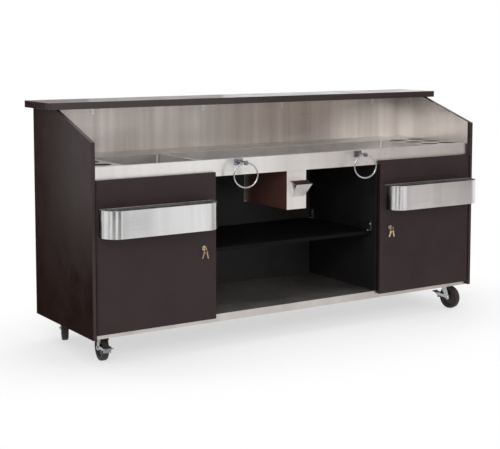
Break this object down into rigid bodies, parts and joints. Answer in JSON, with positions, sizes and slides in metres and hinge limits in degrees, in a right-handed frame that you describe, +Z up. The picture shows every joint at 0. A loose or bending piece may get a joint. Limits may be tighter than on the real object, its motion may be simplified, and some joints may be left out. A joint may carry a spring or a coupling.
{
  "type": "mobile bar unit",
  "caption": "Portable back bar on swivel casters: dark laminate cabinet, overhanging bar top, steel counter with ice bin and bottle wells, open bay, locking doors with speed rails.",
  "frame": {"origin": "on the floor, under the middle of the whole unit's box", "axes": "+X to the right seen from the working side, +Y towards the customer side, +Z up"},
  "size_m": [2.44, 0.792, 1.222],
  "materials": {
    "laminate": "satin dark brown laminate",
    "black_board": "matt black laminate",
    "steel": "brushed stainless steel",
    "foam": "rigid foam",
    "chrome": "polished chrome",
    "brass": "polished brass",
    "hinge": "dark bronze",
    "zinc": "bright zinc plate",
    "wheel": "black rubber"
  },
  "bodies": {
    "cabinet": {"left_end_panel": "laminate", "right_end_panel": "laminate", "customer_panel": "laminate", "bar_top": "laminate", "centre_housing": "laminate", "inner_back_panel": "black_board", "left_divider": "black_board", "right_divider": "black_board", "deck_board": "black_board", "bay_shelf": "black_board", "deck_skin": "steel", "counter_top": "steel", "work_pan": "steel", "ice_bin_liner": "steel", "left_bottle_well": "steel", "right_bottle_well": "steel", "left_well_plate": "steel", "right_well_plate": "steel", "backsplash": "steel", "side_liners": "steel", "housing_hanger": "steel", "catcher_plate": "steel", "cap_catcher": "steel", "ice_bin_insulation": "foam", "ice_bin_drain": "chrome", "ring_mounts": "chrome", "hinge_frame_leaves": "hinge", "hinge_pins": "hinge", "shelf_brackets": "zinc", "bar_top_brackets": "zinc", "lock_strikes": "zinc", "caster_plates": "zinc"},
    "left_door": {"left_door": "laminate", "left_hinge_door_leaf": "hinge", "left_speed_rail": "steel", "left_lock_barrel": "chrome"},
    "left_lock": {"left_lock_plug": "brass"},
    "left_key_ring": {"left_keys": "brass"},
    "left_towel_ring": {"left_towel_ring": "chrome"},
    "right_door": {"right_door": "laminate", "right_hinge_door_leaf": "hinge", "right_speed_rail": "steel", "right_lock_barrel": "chrome"},
    "right_lock": {"right_lock_plug": "brass"},
    "right_key_ring": {"right_keys": "brass"},
    "right_towel_ring": {"right_towel_ring": "chrome"},
    "front_left_caster": {"front_left_fork": "zinc", "front_left_axle": "zinc"},
    "front_left_wheel": {"front_left_wheel": "wheel"},
    "left_brake_pedal": {"left_brake_pedal": "zinc"},
    "front_right_caster": {"front_right_fork": "zinc", "front_right_axle": "zinc"},
    "front_right_wheel": {"front_right_wheel": "wheel"},
    "right_brake_pedal": {"right_brake_pedal": "zinc"},
    "back_left_caster": {"back_left_fork": "zinc", "back_left_axle": "zinc"},
    "back_left_wheel": {"back_left_wheel": "wheel"},
    "back_right_caster": {"back_right_fork": "zinc", "back_right_axle": "zinc"},
    "back_right_wheel": {"back_right_wheel": "wheel"}
  },
  "joints": [
    {"name": "left_door_hinge", "type": "hinge", "parent": "cabinet", "child": "left_door", "pos_m": [-1.1575, -0.2893, 0.52], "axis": [0, 0, -1], "range_deg": [0, 105]},
    {"name": "left_lock_turn", "type": "hinge", "parent": "left_door", "child": "left_lock", "pos_m": [-0.584, -0.286, 0.515], "axis": [0, -1, 0], "range_deg": [0, 90]},
    {"name": "left_keys_swing", "type": "hinge", "parent": "left_lock", "child": "left_key_ring", "pos_m": [-0.584, -0.3043, 0.511], "axis": [0, 1, 0], "range_deg": [-20, 20]},
    {"name": "left_towel_ring_swing", "type": "hinge", "parent": "cabinet", "child": "left_towel_ring", "pos_m": [-0.372, -0.3348, 0.924], "axis": [-0.9659, 0.2588, 0], "range_deg": [-20, 90]},
    {"name": "right_door_hinge", "type": "hinge", "parent": "cabinet", "child": "right_door", "pos_m": [1.1575, -0.2893, 0.52], "axis": [0, 0, 1], "range_deg": [0, 105]},
    {"name": "right_lock_turn", "type": "hinge", "parent": "right_door", "child": "right_lock", "pos_m": [0.584, -0.286, 0.515], "axis": [0, 1, 0], "range_deg": [0, 90]},
    {"name": "right_keys_swing", "type": "hinge", "parent": "right_lock", "child": "right_key_ring", "pos_m": [0.584, -0.3043, 0.511], "axis": [0, 1, 0], "range_deg": [-20, 20]},
    {"name": "right_towel_ring_swing", "type": "hinge", "parent": "cabinet", "child": "right_towel_ring", "pos_m": [0.372, -0.3348, 0.924], "axis": [-0.9659, 0.2588, 0], "range_deg": [-20, 90]},
    {"name": "front_left_swivel", "type": "hinge", "parent": "cabinet", "child": "front_left_caster", "pos_m": [-1.075, -0.188, 0.145], "axis": [0, 0, 1], "continuous": true},
    {"name": "front_left_roll", "type": "hinge", "parent": "front_left_caster", "child": "front_left_wheel", "pos_m": [-1.07103, -0.15021, 0.0635], "axis": [-0.9945, 0.1045, 0], "continuous": true},
    {"name": "left_brake", "type": "hinge", "parent": "front_left_caster", "child": "left_brake_pedal", "pos_m": [-1.07897, -0.22579, 0.072], "axis": [0.9945, -0.1045, 0], "range_deg": [0, 13]},
    {"name": "front_right_swivel", "type": "hinge", "parent": "cabinet", "child": "front_right_caster", "pos_m": [1.075, -0.188, 0.145], "axis": [0, 0, 1], "continuous": true},
    {"name": "front_right_roll", "type": "hinge", "parent": "front_right_caster", "child": "front_right_wheel", "pos_m": [1.07963, -0.22572, 0.0635], "axis": [0.9925, 0.1219, 0], "continuous": true},
    {"name": "right_brake", "type": "hinge", "parent": "front_right_caster", "child": "right_brake_pedal", "pos_m": [1.07037, -0.15028, 0.072], "axis": [-0.9925, -0.1219, 0], "range_deg": [0, 13]},
    {"name": "back_left_swivel", "type": "hinge", "parent": "cabinet", "child": "back_left_caster", "pos_m": [-1.075, 0.264, 0.145], "axis": [0, 0, 1], "continuous": true},
    {"name": "back_left_roll", "type": "hinge", "parent": "back_left_caster", "child": "back_left_wheel", "pos_m": [-1.062, 0.29971, 0.0635], "axis": [-0.9397, 0.342, 0], "continuous": true},
    {"name": "back_right_swivel", "type": "hinge", "parent": "cabinet", "child": "back_right_caster", "pos_m": [1.075, 0.264, 0.145], "axis": [0, 0, 1], "continuous": true},
    {"name": "back_right_roll", "type": "hinge", "parent": "back_right_caster", "child": "back_right_wheel", "pos_m": [1.08419, 0.22713, 0.0635], "axis": [0.9703, 0.2419, 0], "continuous": true}
  ]
}
